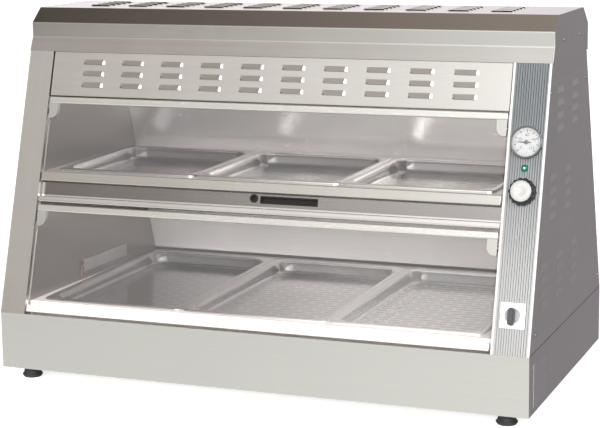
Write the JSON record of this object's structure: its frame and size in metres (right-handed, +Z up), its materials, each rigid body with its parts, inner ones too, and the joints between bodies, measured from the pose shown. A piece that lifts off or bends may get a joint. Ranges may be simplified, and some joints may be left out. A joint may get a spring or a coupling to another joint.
{
  "type": "food holding cabinet",
  "caption": "Two-tier countertop heated food display with sloping glass flaps, shallow pans on heated decks, louvred hood and a control strip at one end.",
  "frame": {"origin": "middle of the footprint, on the surface that the feet stand on", "axes": "+X to the right seen from the front, where the controls are; +Y from the glass front to the rear; +Z up"},
  "size_m": [1.1771, 0.6439, 0.794],
  "materials": {
    "satin_steel": "brushed",
    "liner_steel": "satin",
    "plain_steel": "mill finish",
    "fluted_trim": "fluted satin",
    "pan_steel": "fine satin",
    "door_rail_steel": "bright satin",
    "door_glass": "clear",
    "dial_window": "clear",
    "plated_steel": "plated",
    "bush_plastic": "moulded",
    "heater_sheath": "heat darkened",
    "zinc_plate": "zinc plated",
    "block_ceramic": "unglazed",
    "gland_nylon": "moulded",
    "capillary_copper": "drawn",
    "slot_plastic": "moulded",
    "dial_face": "matt enamel",
    "needle_paint": "matt enamel",
    "lamp_green": "translucent",
    "control_case": "moulded",
    "knob_plastic": "moulded",
    "knob_disc": "spun",
    "switch_white": "moulded",
    "switch_grey": "moulded",
    "foot_rubber": "moulded",
    "plate_foil": "matt foil"
  },
  "bodies": {
    "cabinet": {"base_plinth": "satin_steel", "base_floor": "plain_steel", "left_side_panel": "satin_steel", "right_side_panel": "satin_steel", "left_post": "satin_steel", "control_strip": "fluted_trim", "back_panel": "satin_steel", "back_liner": "liner_steel", "left_liner": "liner_steel", "right_liner": "liner_steel", "ceiling_liner": "liner_steel", "louvre_panel": "satin_steel", "hood_cover": "satin_steel", "hood_ends": "satin_steel", "lower_deck": "liner_steel", "upper_deck": "liner_steel", "mid_panel": "liner_steel", "shelf_underpan": "liner_steel", "upper_heaters": "heater_sheath", "lower_heaters": "heater_sheath", "heater_clips": "zinc_plate", "terminal_block": "block_ceramic", "cable_gland": "gland_nylon", "thermostat_probe": "capillary_copper", "thermometer_probe": "capillary_copper", "probe_guard": "satin_steel", "slot_insert": "slot_plastic", "thermometer_case": "plated_steel", "thermometer_dial": "dial_face", "thermometer_glass": "dial_window", "pilot_lamp": "lamp_green", "thermostat_body": "control_case", "switch_body": "control_case", "switch_plate": "switch_white", "hinge_bushes": "bush_plastic", "feet": "foot_rubber", "foot_studs": "plated_steel", "panel_screws": "plated_steel", "rating_plate": "plate_foil"},
    "thermometer_pointer": {"thermometer_needle": "needle_paint"},
    "thermostat_dial": {"thermostat_shaft": "plated_steel", "thermostat_knob": "knob_plastic", "knob_cap": "knob_disc"},
    "switch_handle": {"switch_lever": "switch_grey"},
    "upper_door": {"upper_door_glass": "door_glass", "upper_door_top_rail": "door_rail_steel", "upper_door_bottom_rail": "door_rail_steel", "upper_door_hinge_plates": "door_rail_steel", "upper_door_pins": "plated_steel"},
    "lower_door": {"lower_door_glass": "door_glass", "lower_door_top_rail": "door_rail_steel", "lower_door_bottom_rail": "door_rail_steel", "lower_door_hinge_plates": "door_rail_steel", "lower_door_pins": "plated_steel"},
    "upper_pan_left_body": {"upper_pan_left": "pan_steel"},
    "upper_pan_centre_body": {"upper_pan_centre": "pan_steel"},
    "upper_pan_right_body": {"upper_pan_right": "pan_steel"},
    "lower_pan_left_body": {"lower_pan_left": "pan_steel"},
    "lower_pan_centre_body": {"lower_pan_centre": "pan_steel"},
    "lower_pan_right_body": {"lower_pan_right": "pan_steel"}
  },
  "joints": [
    {"name": "upper_door_hinge", "type": "hinge", "parent": "cabinet", "child": "upper_door", "pos_m": [-0.01, -0.18322, 0.56998], "axis": [-1, 0, 0], "range_deg": [0, 80]},
    {"name": "lower_door_hinge", "type": "hinge", "parent": "cabinet", "child": "lower_door", "pos_m": [-0.01, -0.25309, 0.34351], "axis": [-1, 0, 0], "range_deg": [0, 80]},
    {"name": "thermostat_turn", "type": "hinge", "parent": "cabinet", "child": "thermostat_dial", "pos_m": [0.546, -0.22566, 0.45278], "axis": [0, -0.9556, 0.2948], "range_deg": [-270, 0]},
    {"name": "switch_turn", "type": "hinge", "parent": "cabinet", "child": "switch_handle", "pos_m": [0.546, -0.297, 0.22153], "axis": [0, -0.9556, 0.2948], "range_deg": [-90, 0]},
    {"name": "thermometer_swing", "type": "hinge", "parent": "cabinet", "child": "thermometer_pointer", "pos_m": [0.546, -0.19677, 0.54642], "axis": [0, -0.9556, 0.2948], "range_deg": [-210, 30]},
    {"name": "upper_pan_left_lift", "type": "slide", "parent": "cabinet", "child": "upper_pan_left_body", "axis": [0, 0, 1], "range_m": [0, 0.035]},
    {"name": "upper_pan_centre_lift", "type": "slide", "parent": "cabinet", "child": "upper_pan_centre_body", "axis": [0, 0, 1], "range_m": [0, 0.035]},
    {"name": "upper_pan_right_lift", "type": "slide", "parent": "cabinet", "child": "upper_pan_right_body", "axis": [0, 0, 1], "range_m": [0, 0.035]},
    {"name": "lower_pan_left_lift", "type": "slide", "parent": "cabinet", "child": "lower_pan_left_body", "axis": [0, 0, 1], "range_m": [0, 0.035]},
    {"name": "lower_pan_centre_lift", "type": "slide", "parent": "cabinet", "child": "lower_pan_centre_body", "axis": [0, 0, 1], "range_m": [0, 0.035]},
    {"name": "lower_pan_right_lift", "type": "slide", "parent": "cabinet", "child": "lower_pan_right_body", "axis": [0, 0, 1], "range_m": [0, 0.035]}
  ]
}
